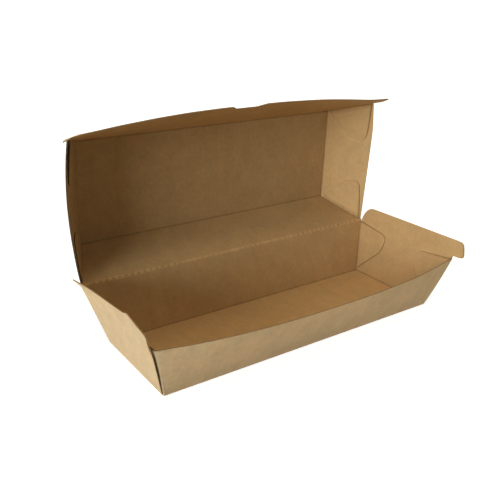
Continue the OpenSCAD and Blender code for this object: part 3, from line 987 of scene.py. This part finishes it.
class BOX_OT_hinge(bpy.types.Operator):
    """Bridge the tray and the lid with the perforated strip of board"""

    bl_idname = "takeaway_box.hinge"
    bl_label = "Hinge strip"

    def execute(self, context):
        scene = context.scene
        board, hinge = scene.box_board, scene.box_hinge
        tray = TrayBlank(scene)
        axis = Vector(HINGE)
        tray_end, along_tray = wall_end(tray, tray_place(board))
        lid_end, back = wall_end(LidBlank(scene), lid_place(scene.box_lid))
        along_lid = -back
        halves = (tray_end, along_tray), (lid_end, along_lid)
        profiles = [strip_section(opening, board.thickness / 2, axis, *halves) for opening in (0, 1)]
        stations = strip_stations(board, hinge)
        last = len(profiles[0]) - 1
        bm, crease, rub, uv, index = board_grid(len(stations) - 1, last)
        start = tray.panel[1] / 2 + tray.back_run
        for f in bm.faces:
            f.material_index = 0 if index(f.calc_center_median())[1] < ARC + 1 else 1
            for corner in f.loops:
                i, j = (round(n) for n in index(corner.vert.co))
                step = min(j, last - j) / (ARC + 1)
                corner[uv].uv = (stations[i][0], start + 2 * hinge.reach * min(1, step))
        for v in bm.verts:
            i, j = (round(n) for n in index(v.co))
            x, opening = stations[i]
            spot = profiles[opening][j]
            v.co = (x, spot.y, spot.z)
            v[crease], v[rub] = strip_marks(x / stations[-1][0], x, j, opening, last - 3)
        bmesh.ops.remove_doubles(bm, verts=bm.verts, dist=1e-7)
        caps = bmesh.ops.holes_fill(bm, edges=[e for e in bm.edges if e.is_boundary], sides=0)["faces"]
        for f in caps:
            f.material_index = 2
        bmesh.ops.recalc_face_normals(bm, faces=bm.faces)
        strip = piece(context, "hinge_strip", bm, board_materials(board))
        soften(strip.data, 35)
        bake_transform(strip)
        return {"FINISHED"}


def lay_floor(context, stage):
    """Lays a matt floor that the camera sees brighter than it is lit."""
    paper = bpy.data.materials.new("Pale floor")
    paper.use_nodes = True
    tree = paper.node_tree
    tree.nodes.clear()
    matt = link(tree, "ShaderNodeBsdfDiffuse", {"Color": (*stage.floor, 1)})
    strength = maths(tree, "MULTIPLY", seen(tree), stage.floor_glow)
    glow = link(tree, "ShaderNodeEmission", {"Strength": strength})
    both = link(tree, "ShaderNodeAddShader", {0: matt.outputs[0], 1: glow.outputs[0]})
    link(tree, "ShaderNodeOutputMaterial", {0: both.outputs[0]})
    bm = bmesh.new()
    bmesh.ops.create_grid(bm, x_segments=4, y_segments=4, size=stage.floor_size / 2)
    floor = piece(context, "floor", bm, [paper])


def light(context, stage):
    """Lights the box from a dim room that the camera sees white, and from soft lights."""
    world = bpy.data.worlds.new("Studio")
    context.scene.world = world
    world.use_nodes = True
    tree = world.node_tree
    tree.nodes.clear()
    room = link(tree, "ShaderNodeBackground", {"Color": ROOM_COLOUR, "Strength": stage.room})
    white = link(tree, "ShaderNodeBackground", {"Color": (1, 1, 1, 1), "Strength": 1.0})
    both = link(tree, "ShaderNodeMixShader", {0: seen(tree), 1: room.outputs[0], 2: white.outputs[0]})
    link(tree, "ShaderNodeOutputWorld", {0: both.outputs[0]})
    for name, setting, width, tone, source in LIGHTS:
        sun = bpy.data.lights.new(name, "SUN")
        sun.color = tone
        sun.energy = getattr(stage, setting)
        sun.angle = math.radians(width)
        lamp = bpy.data.objects.new(name, sun)
        context.scene.collection.objects.link(lamp)
        lamp.rotation_euler = Vector(source).to_track_quat("Z", "Y").to_euler()


def aim(context):
    """Puts the camera where the photograph was taken from."""
    yaw, pitch, roll = (math.radians(a) for a in CAMERA_TURN)
    ahead = Vector((math.sin(yaw) * math.cos(pitch), math.cos(yaw) * math.cos(pitch), -math.sin(pitch)))
    level = Vector((math.cos(yaw), -math.sin(yaw), 0))
    above = level.cross(ahead)
    right = level * math.cos(roll) + above * math.sin(roll)
    up = above * math.cos(roll) - level * math.sin(roll)
    data = bpy.data.cameras.new("Camera")
    data.lens, data.sensor_width = 49.05, 36
    data.clip_start, data.clip_end = 0.01, 100
    camera = bpy.data.objects.new("Camera", data)
    context.scene.collection.objects.link(camera)
    turn = Matrix((right, up, -ahead)).transposed().to_4x4()
    camera.matrix_world = Matrix.Translation(CAMERA_PLACE) @ turn
    context.scene.camera = camera


class BOX_OT_stage(bpy.types.Operator):
    """Set up the floor, the light and the camera"""

    bl_idname = "takeaway_box.stage"
    bl_label = "Stage"

    def execute(self, context):
        stage = context.scene.box_stage
        lay_floor(context, stage)
        light(context, stage)
        aim(context)
        context.scene.view_settings.view_transform = "Standard"
        return {"FINISHED"}


class BOX_PT_panel(bpy.types.Panel):
    """Sizes, colours and pieces of the takeaway box"""

    bl_label = "Takeaway Box"
    bl_idname = "BOX_PT_panel"
    bl_space_type = "VIEW_3D"
    bl_region_type = "UI"
    bl_category = "Takeaway Box"

    def draw(self, context):
        layout = self.layout
        for label, owner, name in GROUPS:
            box = layout.box()
            box.label(text=label)
            settings = getattr(context.scene, name)
            for key in owner.__annotations__:
                box.prop(settings, key)
        for operator in PIECES:
            layout.operator(operator.bl_idname)


GROUPS = (
    ("Board", BoardSettings, "box_board"),
    ("Corner tabs", TabSettings, "box_tabs"),
    ("Tray", TraySettings, "box_tray"),
    ("Lid", LidSettings, "box_lid"),
    ("Hinge", HingeSettings, "box_hinge"),
    ("Stage", StageSettings, "box_stage"),
)
PIECES = (BOX_OT_tray, BOX_OT_lid, BOX_OT_hinge, BOX_OT_stage)


def register():
    for _, owner, name in GROUPS:
        bpy.utils.register_class(owner)
        setattr(bpy.types.Scene, name, PointerProperty(type=owner))
    for owner in (*PIECES, BOX_PT_panel):
        bpy.utils.register_class(owner)


def unregister():
    for owner in (BOX_PT_panel, *reversed(PIECES)):
        bpy.utils.unregister_class(owner)
    for _, owner, name in reversed(GROUPS):
        delattr(bpy.types.Scene, name)
        bpy.utils.unregister_class(owner)


def main():
    register()
    bpy.ops.takeaway_box.tray()
    bpy.ops.takeaway_box.lid()
    bpy.ops.takeaway_box.hinge()
    bpy.ops.takeaway_box.stage()
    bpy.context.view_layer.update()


if __name__ == "__main__":
    main()
